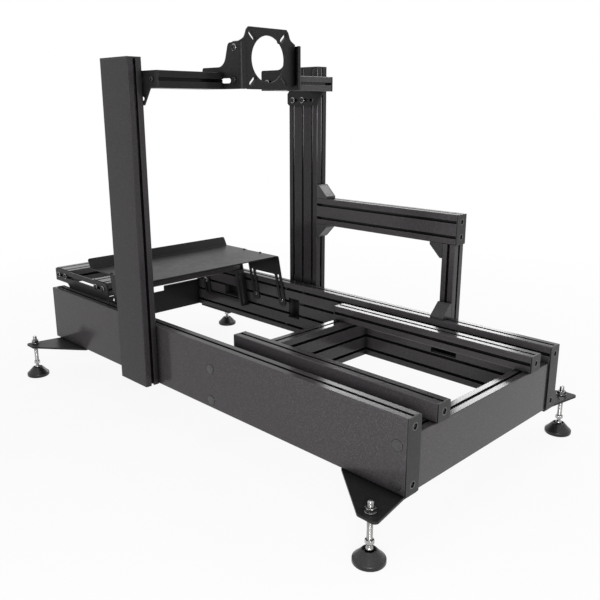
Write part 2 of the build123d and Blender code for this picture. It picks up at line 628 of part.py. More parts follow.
tray_left = yz_plane(-INNER_X, 1)
with BuildPart() as heel_tray:
    with BuildSketch(Plane(origin=(0, skirt_front_y, 0), x_dir=(1, 0, 0), z_dir=(0, -1, 0))):
        FoldedSheet(
            (
                (INNER_X, leg_bottom_z),
                (INNER_X, TRAY_TOP),
                (-INNER_X, TRAY_TOP),
                (-INNER_X, leg_bottom_z),
            ),
            TRAY_STEEL,
        )
    extrude(amount=TRAY_SKIRT_LENGTH + TRAY_LEG_LENGTH * tray_slope)
    with BuildSketch(tray_left):
        with BuildLine():
            FilletPolyline(
                leaned(TRAY_REAR_Y, TRAY_TOP),
                leaned(skirt_front_y, TRAY_TOP),
                leaned(skirt_front_y, leg_bottom_z),
                leaned(skirt_front_y - TRAY_LEG_WIDTH, leg_bottom_z),
                leaned(skirt_front_y - TRAY_LEG_WIDTH, skirt_bottom_z),
                leaned(TRAY_REAR_Y + TRAY_LEG_WIDTH, skirt_bottom_z),
                leaned(TRAY_REAR_Y + TRAY_LEG_WIDTH, leg_bottom_z),
                leaned(TRAY_REAR_Y, leg_bottom_z),
                radius=(0, 0) + (TRAY_LEG_RADIUS,) * 2 + (TRAY_SKIRT_RADIUS,) * 2 + (TRAY_LEG_RADIUS,) * 2,
                close=True,
            )
        make_face()
        leg_slot_tops = (TRAY_REAR_Y + TRAY_LEG_WIDTH / 2, skirt_front_y - TRAY_LEG_WIDTH / 2)
        with Locations(*[leaned(slot_top_y, leg_slot_z) for slot_top_y in leg_slot_tops]):
            ScrewSlot(TRAY_LEG_SLOT, SCREW_HOLE, rotation=90 - TRAY_LEG_SLANT)
    extrude(amount=INNER_WIDTH, mode=Mode.INTERSECT)
    with BuildSketch(tray_left):
        FoldedSheet(
            (
                leaned(skirt_front_y, tray_under_z),
                (tray_front_y, tray_under_z),
                (tray_front_y + upstand_run, TRAY_TOP + TRAY_UPSTAND),
            ),
            TRAY_STEEL,
        )
    extrude(amount=INNER_WIDTH)
    edges_through_sheet = heel_tray.edges().filter_by(lambda edge: edge.length < 2 * TRAY_STEEL)
    fillet(edges_through_sheet.sort_by(Axis.Z)[-2:], TRAY_UPSTAND_RADIUS)
save(heel_tray.part, "heel_tray")

# Shifter arm behind the right upright, and the post that carries its rear end
arm_z = (ARM_BOTTOM_Z + ARM_TOP_Z) / 2
with BuildPart() as shifter_arm:
    with BuildSketch(section_plane((SHIFTER_X, UPRIGHT_REAR_Y, arm_z), (0, -1, 0), (0, 0, 1))):
        t_slot_section(ARM_CELLS, ("wide_plus", "edge_plus", "edge_minus"), range(ARM_CELLS))
    extrude(amount=ARM_LENGTH)
save(shifter_arm.part, "shifter_arm")

arm_cap_place = ((SHIFTER_X, UPRIGHT_REAR_Y - ARM_LENGTH, arm_z), (0, -1, 0), (0, 0, 1))
save(end_caps((arm_cap_place,), ARM_CELLS, range(ARM_CELLS)), "shifter_arm_end_cap")

with BuildPart() as shifter_post:
    with BuildSketch(section_plane((SHIFTER_X, POST_Y, UNDERSIDE), (0, 0, 1), (0, 1, 0))):
        t_slot_section(1, ("wide_plus", "edge_plus", "edge_minus"), (0,))
    extrude(amount=ARM_LIFT)
save(shifter_post.part, "shifter_post")

gussets = (
    ("upper_arm_gusset", (SHIFTER_X, UPRIGHT_REAR_Y, ARM_TOP_Z), (0, -1, 0), (0, 0, 1)),
    ("lower_arm_gusset", (SHIFTER_X, UPRIGHT_REAR_Y, ARM_BOTTOM_Z), (0, -1, 0), (0, 0, -1)),
    ("post_top_gusset", (SHIFTER_X, POST_Y + CELL / 2, ARM_BOTTOM_Z), (0, 1, 0), (0, 0, -1)),
    ("post_foot_gusset", (OUTER_X, POST_Y, SIDE_TOP), (-1, 0, 0), (0, 0, 1)),
)
for name, corner, first_dir, second_dir in gussets:
    across = Vector(first_dir).cross(Vector(second_dir))
    with BuildPart() as gusset:
        with BuildSketch(Plane(origin=corner, x_dir=first_dir, z_dir=across)):
            with BuildLine():
                Polyline(
                    (0, 0),
                    (GUSSET, 0),
                    (GUSSET, GUSSET_NOSE),
                    (GUSSET_NOSE, GUSSET),
                    (0, GUSSET),
                    close=True,
                )
            make_face()
        extrude(amount=CELL / 2, both=True)
    save(gusset.part, name)

# Levelling feet: a bracket under each profile end, a stud with its nuts and swivel end, and a pad
foot_places = (("rear", -1, REAR_Y, REAR_Y), ("front", 1, FRONT_Y, FRONT_Y - FOOT_PLATE_FRONT_SHIFT))
swivel_z = PAD_HEIGHT - PAD_RECESS_DEPTH
recess_radius = SWIVEL_RADIUS + PAD_RECESS_CLEARANCE
pad_cone_z = PAD_RIM + PAD_SHOULDER
pad_cone_radius = PAD_RADIUS - PAD_SHOULDER
pad_steps = (
    (0, PAD_RADIUS, PAD_RIM, 0),
    (PAD_RIM, PAD_RADIUS, PAD_SHOULDER, PAD_SHOULDER),
    (pad_cone_z, pad_cone_radius, PAD_HEIGHT - pad_cone_z, pad_cone_radius - PAD_NECK_RADIUS),
)
stud_hexagons = (
    (PAD_HEIGHT + FOOT_HEXAGON_LIFT, FOOT_HEXAGON, FOOT_HEXAGON_HEIGHT),
    (UNDERSIDE - FOOT_PLATE - FOOT_NUT_HEIGHT, FOOT_NUT, FOOT_NUT_HEIGHT),
    (UNDERSIDE, FOOT_NUT, FOOT_NUT_HEIGHT),
)
for end, end_sign, end_y, plate_end_y in foot_places:
    stud_y = end_y - end_sign * FOOT_INSET
    plate_tip_y = plate_end_y + end_sign * FOOT_PLATE_OVERHANG
    plate_root_y = plate_end_y - end_sign * FOOT_PLATE_ROOT
    for side, sign in SIDES:
        stud_place = (sign * STUD_X, stud_y)
        plate_tip_x = sign * (OUTER_X + FOOT_PLATE_REACH)
        with BuildPart() as foot_bracket:
            with BuildSketch(Plane.XY.offset(UNDERSIDE)):
                with BuildLine():
                    FilletPolyline(
                        (sign * INNER_X, plate_end_y),
                        (sign * OUTER_X, plate_end_y),
                        (plate_tip_x, plate_tip_y),
                        (plate_tip_x, plate_tip_y - end_sign * FOOT_PLATE_TIP),
                        (sign * OUTER_X, plate_root_y),
                        (sign * INNER_X, plate_root_y),
                        radius=(0, 0, FOOT_PLATE_RADIUS, FOOT_PLATE_RADIUS, 0, 0),
                        close=True,
                    )
                make_face()
                with Locations(stud_place):
                    RegularPolygon(FOOT_HOLE_RADIUS, ROUND_SIDES, mode=Mode.SUBTRACT)
            extrude(amount=-FOOT_PLATE)
        save(foot_bracket.part, f"{end}_{side}_foot_bracket")

        with BuildPart() as foot_stud:
            for radius, height in (
                (SWIVEL_RADIUS, SWIVEL_HEIGHT),
                (FOOT_STUD_RADIUS, UNDERSIDE + FOOT_STUD_ABOVE - swivel_z),
            ):
                with BuildSketch(Plane.XY.offset(swivel_z)):
                    with Locations(stud_place):
                        RegularPolygon(radius, ROUND_SIDES)
                extrude(amount=height)
            for bottom, across_flats, height in stud_hexagons:
                with BuildSketch(Plane.XY.offset(bottom)):
                    with Locations(stud_place):
                        RegularPolygon(across_flats / 2, 6, major_radius=False)
                extrude(amount=height)
        save(foot_stud.part, f"{end}_{side}_foot_stud")

        with BuildPart() as foot_pad:
            for level, radius, height, inset in pad_steps:
                with BuildSketch(Plane.XY.offset(level)):
                    with Locations(stud_place):
                        RegularPolygon(radius, PAD_SIDES)
                extrude(amount=height, taper=degrees(atan2(inset, height)))
            with BuildSketch(Plane.XY.offset(swivel_z)):
                with Locations(stud_place):
                    RegularPolygon(recess_radius, PAD_SIDES)
            extrude(amount=PAD_RECESS_DEPTH, mode=Mode.SUBTRACT)
        save(foot_pad.part, f"{end}_{side}_foot_pad")

# Round plugs over the crossmember bolts on the outer faces of the side profiles
plug_heights = (UNDERSIDE + CELL / 2, CROSSMEMBER_TOP - CELL / 2)
with BuildPart() as bolt_plugs:
    for _, sign in SIDES:
        for _, crossmember_y, _ in crossmembers:
            with BuildSketch(yz_plane(sign * OUTER_X, sign)):
                with Locations(*[(sign * crossmember_y, height) for height in plug_heights]):
                    RegularPolygon(PLUG_RADIUS, ROUND_SIDES)
            extrude(amount=PLUG_HEIGHT)
save(bolt_plugs.part, "bolt_plugs")
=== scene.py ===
"""Materials, fasteners, feet, light and camera for the sim racing cockpit.

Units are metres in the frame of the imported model: +Z up, +X the driver's right, +Y the pedal end.
Sizes and places that are easier to read in millimetres are written so and turned by MM.
"""

import math

import bmesh
import bpy
from mathutils import Matrix, Vector


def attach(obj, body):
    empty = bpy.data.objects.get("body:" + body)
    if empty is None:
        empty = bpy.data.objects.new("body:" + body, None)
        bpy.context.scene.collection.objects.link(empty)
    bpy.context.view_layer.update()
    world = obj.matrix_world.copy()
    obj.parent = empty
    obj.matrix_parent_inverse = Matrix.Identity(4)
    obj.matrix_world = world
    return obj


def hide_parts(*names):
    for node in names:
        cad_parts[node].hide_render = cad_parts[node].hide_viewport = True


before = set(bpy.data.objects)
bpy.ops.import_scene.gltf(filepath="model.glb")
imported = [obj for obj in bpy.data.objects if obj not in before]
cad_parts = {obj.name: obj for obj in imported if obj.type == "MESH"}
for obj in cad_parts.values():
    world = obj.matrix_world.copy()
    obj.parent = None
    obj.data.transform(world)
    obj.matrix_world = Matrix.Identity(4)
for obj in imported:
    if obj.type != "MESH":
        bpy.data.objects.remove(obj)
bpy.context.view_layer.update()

MM = 0.001
BODY = "root"
SIDES = (-1, 1)

# Directions
BACK = (0, -1, 0)
FORWARD = (0, 1, 0)
UP = (0, 0, 1)
DOWN = (0, 0, -1)
LEFT = (-1, 0, 0)

# Places across the frame, in millimetres from its middle
MOUNT_FLANGE_X = 94.0
MOUNT_INNER_X = 99.0
MOUNT_OUTER_X = 104.0
SEAT_RAIL_X = 185.0
TRAY_TOP_SCREW_X = 251.0
DECK_PLATE_INNER_X = 255.0
TRAY_LEG_X = 257.0
INNER_X = 260.0
SIDE_PROFILE_X = 280.0
BRACKET_INNER_X = 295.0
OUTER_X = 300.0
UPRIGHT_X = 320.0
STUD_X = 381.6

# Places along the frame, in millimetres
REAR_END_Y = -706.45
FRONT_END_Y = 669.55
CROSSMEMBER_YS = (-682.45, -122.45)
SEAT_RAIL_FRONT_Y = -98.45
SHIFTER_ARM_END_Y = -404.95
POST_Y = -380.95
POST_FRONT_Y = -360.95
MOUNT_SCREW_Y = -4.45
MOUNT_PLATE_BACK_Y = -10.45
CROSSBAR_CORE_YS = (59.05, 99.05)
UPRIGHT_REAR_Y = 99.05
UPRIGHT_SLOT_YS = (119.05, 159.05, 199.05)
TRAY_LEG_SCREW_YS = (212.85, 338.85)
TRAY_TOP_SCREW_YS = (389.55, 308.55)
DECK_SLOT_YS = (700.55, 660.55, 471.55, 431.55)
FOOT_SCREW_YS = (-662.45, -584.45, 607.55, 529.55)
STUD_YS = (-688.05, 651.15)

# Heights, in millimetres
FOOT_PLATE_UNDER_Z = 100.0
LOW_CORE_Z = 125.0
MIDDLE_CORE_Z = 205.0
HIGH_CORE_Z = 245.0
SIDE_TOP_Z = 265.0
DECK_BEAM_Z = 295.0
TRAY_TOP_Z = 348.0
ARM_BOTTOM_Z = 462.0
ARM_CORE_ZS = (482.0, 522.0)
ARM_TOP_Z = 542.0
BRACKET_SLOT_Z = 830.5
CROSSBAR_Z = 874.0
UPRIGHT_TOP_Z = 925.0
MOTOR_BORE_Z = 927.0

# Height of each screw through the wheel mount's flanges, and whether its head has a washer
MOUNT_SCREWS = ((876.0, False), (951.0, True))

# Place along the frame and height of the screws in the pedal deck's legs
DECK_LEG_SCREWS = ((609.56, MIDDLE_CORE_Z), (427.96, HIGH_CORE_Z))

# Screws and nuts, in millimetres: radii of heads, washers and bores, sockets and nuts across their flats
M5 = {"head": 4.75, "height": 2.75, "socket": 3.0, "washer": 5.5}
M6 = {"head": 5.0, "height": 3.3, "socket": 4.0, "washer": 6.4}
M8 = {"head": 6.6, "height": 4.4, "socket": 5.0, "washer": 8.6}
WASHER_THICKNESS = 1.2
CORE_SCREW = {"radius": 4.1, "height": 2.5, "socket": 4.0}
SUNK_SCREW = {"radius": 3.9, "height": 6.0, "socket": 4.0}
CAP_SCREW = {"radius": 5.4, "height": 1.3, "socket": 5.0}
MOUNT_NUT = {"across_flats": 13.0, "height": 6.5, "bore": 4.0}
STUD_HEXAGON = {"across_flats": 16.0, "height": 8.0, "bore": 5.2}
STUD_LOWER_NUT = {"across_flats": 19.0, "height": 9.4, "bore": 5.2}
STUD_UPPER_NUT = {"across_flats": 19.0, "height": 8.0, "bore": 5.2}

# How far screws sit below the face around them, in millimetres
CORE_SCREW_SINK = 0.1
SLOT_SCREW_SINK = 2.0
CAP_SCREW_SINK = 2.6

# Edge lightening, partly abrasion and partly painted highlight: how wide an edge is softened, in
# millimetres, and how like the softened and the flat normal are where the lightening starts and where it is
# full
EDGE_SOFTNESS = 1.2
WEAR_AND_HIGHLIGHT_START = 0.995
WEAR_AND_HIGHLIGHT_FULL = 0.86

# Painted shade in recesses: how far the nearest surface is looked for, in millimetres, how open a place is
# where the painted shade is full and where it ends, and the share of the colour left in the darkest place
PAINTED_SHADE_REACH = 30.0
PAINTED_SHADE_FULL = 0.45
PAINTED_SHADE_END = 0.95
PAINTED_SHADE_TONE = 0.1

# Flakes: tone of the brightest one, and places on the ramp with their tones, in shares of the speckle
BRIGHTEST_FLAKE = 4.0
FLAKE_STEPS = ((0.45, -0.3), (0.85, 0.6))

# Noise that all surfaces share: scale of the broad patches per metre, and heights of relief in millimetres
PATCH_SCALE = 7.0
LINE_RELIEF = 0.05
GRAIN_RELIEF = 0.1

# Roughness: range of the summed noise, and the shares of the plain roughness that it is turned into
ROUGH_NOISE = (0.7, 1.3)
ROUGH_SHARES = (0.85, 1.2)

# Scale of the die lines per metre, across and along a bar
ACROSS = 900.0
ALONG = 6.0
ALONG_X = (ALONG, ACROSS, ACROSS)
ALONG_Y = (ACROSS, ALONG, ACROSS)
ALONG_Z = (ACROSS, ACROSS, ALONG)

# Numbers of points on rings, and of rings in a dome
RING_POINTS = 36
CORNER_POINTS = 6
PLUG_POINTS = 48
PAD_POINTS = 72
DOME_STEPS = 5


# Materials
def node_tools(owner):
    """Empty the owner's node tree and return two functions, one that adds nodes and one that links them."""
    tree = owner.node_tree
    tree.nodes.clear()

    def add(kind, **values):
        node = tree.nodes.new(kind)
        for key, value in values.items():
            if key in node.inputs:
                node.inputs[key].default_value = value
            else:
                setattr(node, key, value)
        return node

    def link(source, output, target, field):
        tree.links.new(source.outputs[output], target.inputs[field])

    return add, link


def add_range(add, start, end, low=0.0, high=1.0):
    """Node that turns the values from start to end into those from low to high."""
    node = add("ShaderNodeMapRange")
    for field, value in (("From Min", start), ("From Max", end), ("To Min", low), ("To Max", high)):
        node.inputs[field].default_value = value
    return node


def tinted(colour, factor):
    return (*[min(1.0, channel * factor) for channel in colour], 1)


def lightened(colour, step):
    return (*[min(1.0, channel + step) for channel in colour], 1)


def surface(
    name, colour, roughness, specular, grain, speckle, grain_bump, streak, wear_and_highlight,
    line_bump=0.02, metallic=0.0,
):
    """A metal or moulded surface: flaked grain, long die lines, painted shade in recesses, and soft edges
    painted lighter for abrasion and as a highlight.

    grain is the scale of the flakes and of their relief per metre, and speckle how far the flakes
    lighten and darken the colour. grain_bump and line_bump are the strengths of the relief.
    streak is the scale of the long lines along x, y and z. The edge lightening argument is how far the
    colour lightens on an edge, partly for abrasion and partly as a painted highlight.
    """
    material = bpy.data.materials.new(name)
    material.use_nodes = True
    add, link = node_tools(material)
    output = add("ShaderNodeOutputMaterial")
    shader = add("ShaderNodeBsdfPrincipled", Metallic=metallic)
    shader.inputs["Specular IOR Level"].default_value = specular
    link(shader, "BSDF", output, "Surface")
    place = add("ShaderNodeTexCoord")

    # Noises: fine grain, broad patches and long lines
    fine = add("ShaderNodeTexNoise", Scale=grain, Detail=1.0, Roughness=0.5)
    link(place, "Object", fine, "Vector")
    broad = add("ShaderNodeTexNoise", Scale=PATCH_SCALE, Detail=3.0, Roughness=0.55)
    link(place, "Object", broad, "Vector")
    stretch = add("ShaderNodeMapping")
    stretch.inputs["Scale"].default_value = streak
    link(place, "Object", stretch, "Vector")
    lines = add("ShaderNodeTexNoise", Scale=1.0, Detail=4.0, Roughness=0.7)
    link(stretch, "Vector", lines, "Vector")

    # Edges lightened, partly for abrasion and partly as a painted highlight, found where the softened
    # normal leaves the flat one
    soft = add("ShaderNodeBevel", samples=6, Radius=EDGE_SOFTNESS * MM)
    flat = add("ShaderNodeNewGeometry")
    likeness = add("ShaderNodeVectorMath", operation="DOT_PRODUCT")
    link(soft, "Normal", likeness, 0)
    link(flat, "Normal", likeness, 1)
    edge = add_range(add, WEAR_AND_HIGHLIGHT_START, WEAR_AND_HIGHLIGHT_FULL)
    link(likeness, "Value", edge, "Value")
    wear_and_highlight_mask = add("ShaderNodeMath", operation="MULTIPLY")
    link(edge, "Result", wear_and_highlight_mask, 0)
    link(broad, "Fac", wear_and_highlight_mask, 1)

    # Colour: flakes, then edge lightening for abrasion and painted highlight, then painted shade in
    # recesses
    flakes = add("ShaderNodeTexVoronoi", Scale=grain)
    link(place, "Object", flakes, "Vector")
    chance = add("ShaderNodeSeparateColor")
    link(flakes, "Color", chance, "Color")
    spots = add("ShaderNodeValToRGB")
    tones = spots.color_ramp.elements
    tones[0].color = tinted(colour, 1 - speckle)
    tones[1].color = tinted(colour, 1 + speckle * BRIGHTEST_FLAKE)
    for position, share in FLAKE_STEPS:
        tones.new(position).color = tinted(colour, 1 + speckle * share)
    link(chance, "Red", spots, "Fac")
    # The edge mask lightens the colour: abrasion and a painted highlight in one
    wear_and_highlight_colour = add("ShaderNodeMix", data_type="RGBA")
    wear_and_highlight_colour.inputs[7].default_value = lightened(colour, wear_and_highlight)
    link(wear_and_highlight_mask, "Value", wear_and_highlight_colour, 0)
    link(spots, "Color", wear_and_highlight_colour, 6)
    # Painted shade: the colour is darkened where other surfaces are near
    painted_shade_occlusion = add("ShaderNodeAmbientOcclusion", samples=6, Distance=PAINTED_SHADE_REACH * MM)
    painted_shade_factor = add_range(add, PAINTED_SHADE_FULL, PAINTED_SHADE_END, low=PAINTED_SHADE_TONE)
    link(painted_shade_occlusion, "AO", painted_shade_factor, "Value")
    shaded = add("ShaderNodeVectorMath", operation="SCALE")
    link(wear_and_highlight_colour, 2, shaded, 0)
    link(painted_shade_factor, "Result", shaded, "Scale")
    link(shaded, "Vector", shader, "Base Color")

    # Roughness
    sum_rough = add("ShaderNodeMath", operation="ADD")
    link(broad, "Fac", sum_rough, 0)
    link(lines, "Fac", sum_rough, 1)
    least, most = ROUGH_SHARES
    spread = add_range(add, *ROUGH_NOISE, low=roughness * least, high=roughness * most)
    link(sum_rough, "Value", spread, "Value")
    link(spread, "Result", shader, "Roughness")

    # Relief of the lines and of the grain, on the softened edges
    drawn = add("ShaderNodeBump", Strength=line_bump, Distance=LINE_RELIEF * MM)
    link(soft, "Normal", drawn, "Normal")
    link(lines, "Fac", drawn, "Height")
    bump = add("ShaderNodeBump", Strength=grain_bump, Distance=GRAIN_RELIEF * MM)
    link(drawn, "Normal", bump, "Normal")
    link(fine, "Fac", bump, "Height")
    link(bump, "Normal", shader, "Normal")
    return material


# The bars are all one anodised finish. The lengthways bars get a lighter copy of it as painted light, and
# the uprights and the left crossbar get darker copies as painted shade. The cross bars and the post keep
# the plain finish.
BAR = dict(roughness=0.16, grain=760.0, speckle=0.17, grain_bump=0.004, line_bump=0.004)
ANODISED = (0.05, 0.0462, 0.049)
LENGTHWAYS_PAINTED_LIGHT_TONE = (0.057, 0.0527, 0.0558)
UPRIGHT_PAINTED_SHADE_TONE = (0.036, 0.033, 0.0355)
CROSSBAR_PAINTED_SHADE_TONE = (0.016, 0.015, 0.016)
bar_materials = {
    "cross": surface("bar_along_x", ANODISED, specular=0.33, streak=ALONG_X, wear_and_highlight=0.14, **BAR),
    "long": surface("bar_along_y_painted_light", LENGTHWAYS_PAINTED_LIGHT_TONE, specular=0.16, streak=ALONG_Y, wear_and_highlight=0.14, **BAR),
    "upright": surface("bar_upright_painted_shade", UPRIGHT_PAINTED_SHADE_TONE, specular=0.14, streak=ALONG_Z, wear_and_highlight=0.03, **BAR),
    "post": surface("bar_post", ANODISED, specular=0.3, streak=ALONG_Z, wear_and_highlight=0.06, **BAR),
    "stub": surface("bar_crossbar_painted_shade", CROSSBAR_PAINTED_SHADE_TONE, specular=0.12, streak=ALONG_X, wear_and_highlight=0.03, **BAR),
}
steel_black = surface(
    "powder_coated_steel", (0.017, 0.017, 0.0175), roughness=0.36, specular=0.14,
    grain=900.0, speckle=0.3, grain_bump=0.12, streak=(60, 60, 60), wear_and_highlight=0.06,
)
gusset_black = surface(
    "die_cast_black", (0.03, 0.03, 0.031), roughness=0.3, specular=0.5,
    grain=700.0, speckle=0.25, grain_bump=0.16, streak=(40, 40, 40), wear_and_highlight=0.08,
)
cap_black = surface(
    "moulded_cap_black", (0.018, 0.018, 0.018), roughness=0.34, specular=0.26,
    grain=700.0, speckle=0.2, grain_bump=0.12, streak=(30, 30, 30), wear_and_highlight=0.1,
)
plug_black = surface(
    "moulded_plug_black", (0.04, 0.04, 0.041), roughness=0.28, specular=0.5,
    grain=700.0, speckle=0.15, grain_bump=0.08, streak=(30, 30, 30), wear_and_highlight=0.08,
)
rim_grey = surface(
    "moulded_cap_rim", (0.075, 0.075, 0.076), roughness=0.3, specular=0.5,
    grain=700.0, speckle=0.15, grain_bump=0.1, streak=(30, 30, 30), wear_and_highlight=0.12,
)
pad_black = surface(
    "moulded_pad_black", (0.016, 0.016, 0.0165), roughness=0.32, specular=0.4,
    grain=420.0, speckle=0.2, grain_bump=0.05, streak=(20, 20, 20), wear_and_highlight=0.03,
)
zinc = surface(
    "zinc_plated_steel", (0.42, 0.42, 0.415), roughness=0.18, specular=0.5, metallic=1.0,
    grain=700.0, speckle=0.06, grain_bump=0.05, streak=(90, 90, 90), wear_and_highlight=0.1,
)
oxide = surface(
    "black_oxide_screw", (0.022, 0.022, 0.023), roughness=0.3, specular=0.3,
    grain=700.0, speckle=0.2, grain_bump=0.08, streak=(50, 50, 50), wear_and_highlight=0.05,
)
STEEL_COATS = (zinc, oxide)
OXIDE_COAT = 1

BARS = {
    "cross": (
        "rear_crossmember", "middle_crossmember", "front_deck_beam", "rear_deck_beam", "right_crossbar",
    ),
    "long": (
        "left_side_profile", "right_side_profile", "left_seat_rail", "right_seat_rail", "shifter_arm",
    ),
    "upright": ("left_upright", "right_upright"),
    "post": ("shifter_post",),
    # The left crossbar takes a darker copy as painted shade, though it is the same bar as the right one
    "stub": ("left_crossbar",),
}


def material_of(node):
    for kind, names in BARS.items():
        if node in names:
            return bar_materials[kind]
    if "foot_pad" in node:
        return pad_black
    if "foot_stud" in node:
        return zinc
    if "gusset" in node:
        return gusset_black
    if "cap" in node or "plug" in node:
        return cap_black
    return steel_black


for node_name, node_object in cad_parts.items():
    node_object.data.materials.clear()
    node_object.data.materials.append(material_of(node_name))


# Pieces
def frame_at(place, outward):
    """Matrix whose local +Z points outward from place, which is in millimetres."""
    turn = Vector(outward).to_track_quat("Z", "Y").to_matrix().to_4x4()
    return Matrix.Translation(Vector(place) * MM) @ turn


def frame_along(place, along, outward):
    """Matrix whose local +X runs along and whose +Z points outward from place, which is in millimetres."""
    axes = Matrix((along, outward.cross(along), outward)).transposed().to_4x4()
    return Matrix.Translation(Vector(place) * MM) @ axes


def add_rings(mesh, rings, matrix, coat=0, looped=False):
    """Skin rings of equal point counts, each a list of (x, y, z) in millimetres.

    The skin is closed by a face at each end, or looped from the last ring to the first. coat is the
    index of one of the piece's materials.
    """
    loops = [[mesh.verts.new(matrix @ (Vector(point) * MM)) for point in ring] for ring in rings]
    count = len(loops[0])
    pairs = list(zip(loops, loops[1:]))
    if looped:
        pairs.append((loops[-1], loops[0]))
    faces = []
    for lower, upper in pairs:
        for index in range(count):
            following = (index + 1) % count
            faces.append(mesh.faces.new((lower[index], lower[following], upper[following], upper[index])))
    if not looped:
        faces.append(mesh.faces.new(list(reversed(loops[0]))))
        faces.append(mesh.faces.new(loops[-1]))
    for face in faces:
        face.material_index = coat


def circle_ring(radius, height, points=RING_POINTS):
    return [
        (radius * math.cos(math.tau * i / points), radius * math.sin(math.tau * i / points), height)
        for i in range(points)
    ]


def hex_radius(across_flats, angle):
    """Distance from the centre to a hexagon's side at an angle."""
    sector = math.radians(60)
    return across_flats / 2 / math.cos((angle % sector) - sector / 2)


def hex_ring(across_flats, height, limit=None, slope=0.0):
    """Hexagon of points. Corners beyond limit are cut back, or lowered by slope times the excess."""
    ring = []
    for i in range(RING_POINTS):
        angle = math.tau * i / RING_POINTS
        radius = hex_radius(across_flats, angle)
        level = height
        if limit is not None and radius > limit:
            if slope:
                level = height - slope * (radius - limit)
            else:
                radius = limit
        ring.append((radius * math.cos(angle), radius * math.sin(angle), level))
    return ring


def rounded_ring(width, length, radius, height):
    """Rounded rectangle of points at a height."""
    ring = []
    for turn, (side_x, side_y) in enumerate(((1, 1), (-1, 1), (-1, -1), (1, -1))):
        for step in range(CORNER_POINTS):
            angle = math.radians(90) * (turn + step / (CORNER_POINTS - 1))
            ring.append((
                side_x * (width / 2 - radius) + radius * math.cos(angle),
                side_y * (length / 2 - radius) + radius * math.sin(angle),
                height,
            ))
    return ring


def add_lathe(mesh, profile, matrix, points=RING_POINTS):
    """Skin of revolution through (radius, height) pairs, closed at both ends."""
    add_rings(mesh, [circle_ring(radius, height, points) for radius, height in profile], matrix)


def add_hoop(mesh, profile, matrix):
    """Skin of revolution through (radius, height) pairs that go once round its section."""
    add_rings(mesh, [circle_ring(radius, height) for radius, height in profile], matrix, looped=True)


def add_button_head(mesh, place, outward, size, washer=True):
    """Black button-head screw with a hexagon socket, on a bright washer.

    The head rises straight for a quarter of its height and is a dome above that.
    """
    matrix = frame_at(place, outward)
    base = 0.0
    if washer:
        base = WASHER_THICKNESS
        rim = size["washer"]
        add_lathe(mesh, ((rim - 0.2, 0.02), (rim, 0.25), (rim, base - 0.2), (rim - 0.25, base)), matrix)
    head, height, socket = size["head"], size["height"], size["socket"]
    foot = ((head * 0.97, 0.0), (head, 0.3), (head, height * 0.25))
    rings = [circle_ring(radius, base + level) for radius, level in foot]
    top_radius = socket * 0.78
    for step in range(DOME_STEPS):
        angle = math.radians(90) * (step + 1) / DOME_STEPS
        radius = top_radius + (head - top_radius) * math.cos(angle)
        level = base + height * (0.25 + 0.75 * math.sin(angle))
        rings.append(circle_ring(radius, level))
    rings.append(hex_ring(socket, base + height - 0.2))
    rings.append(hex_ring(socket, base + height * 0.35))
    add_rings(mesh, rings, matrix, OXIDE_COAT)


def add_cap_head(mesh, place, outward, radius, height, socket, coat=OXIDE_COAT):
    """Cylindrical socket head with a rounded rim and a hexagon socket, its top at place."""
    rings = [
        circle_ring(radius, -height),
        circle_ring(radius, -0.5),
        circle_ring(radius - 0.5, 0.0),
        circle_ring(socket * 0.72, 0.0),
        hex_ring(socket, -0.3),
        hex_ring(socket, -height * 0.6),
    ]
    add_rings(mesh, rings, frame_at(place, outward), coat)


def add_nut(mesh, place, outward, across_flats, height, bore):
    """Bright hexagon nut with chamfered corners and a lead-in at the bore."""
    limit = across_flats / 2 * 1.02
    slope = math.tan(math.radians(30))
    rings = [
        circle_ring(bore, 0.3),
        circle_ring(bore + 0.5, 0.0),
        hex_ring(across_flats, 0.0, limit),
        hex_ring(across_flats, 0.0, limit, -slope),
        hex_ring(across_flats, height, limit, slope),
        hex_ring(across_flats, height, limit),
        circle_ring(bore + 0.6, height),
        circle_ring(bore, height - 0.5),
    ]
    add_rings(mesh, rings, frame_at(place, outward))


def finish_piece(mesh, name, materials, replaced=(), smooth=40):
    """Turn a bmesh into a piece that rides on the frame.

    Edges sharper than smooth, in degrees, stay sharp.
    """
    bmesh.ops.recalc_face_normals(mesh, faces=mesh.faces[:])
    data = bpy.data.meshes.new(name)
    mesh.to_mesh(data)
    mesh.free()
    for material in materials:
        data.materials.append(material)
    piece = bpy.data.objects.new(name, data)
    bpy.context.scene.collection.objects.link(piece)
    for polygon in data.polygons:
        polygon.use_smooth = True
    data.set_sharp_from_angle(angle=math.radians(smooth))
    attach(piece, BODY)
    if replaced:
        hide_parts(*replaced)
    return piece


# Screws through the crossbar brackets into two of the uprights' slots
screws = bmesh.new()
for sign in SIDES:
    for y in UPRIGHT_SLOT_YS[1:]:
        add_button_head(screws, (sign * BRACKET_INNER_X, y, BRACKET_SLOT_Z), (-sign, 0, 0), M8)
finish_piece(screws, "crossbar_bracket_screws", STEEL_COATS)

# Screws into the crossbar ends: one on the bracket behind the upright, and one sunk beside the upright
screws = bmesh.new()
behind_upright, beside_upright = CROSSBAR_CORE_YS
for sign in SIDES:
    outer_place = (sign * OUTER_X, behind_upright, CROSSBAR_Z)
    add_button_head(screws, outer_place, (sign, 0, 0), M8, washer=False)
    sunk_place = (sign * (OUTER_X - CORE_SCREW_SINK), beside_upright, CROSSBAR_Z)
    add_cap_head(screws, sunk_place, (sign, 0, 0), **CORE_SCREW)
finish_piece(screws, "crossbar_end_screws", STEEL_COATS)

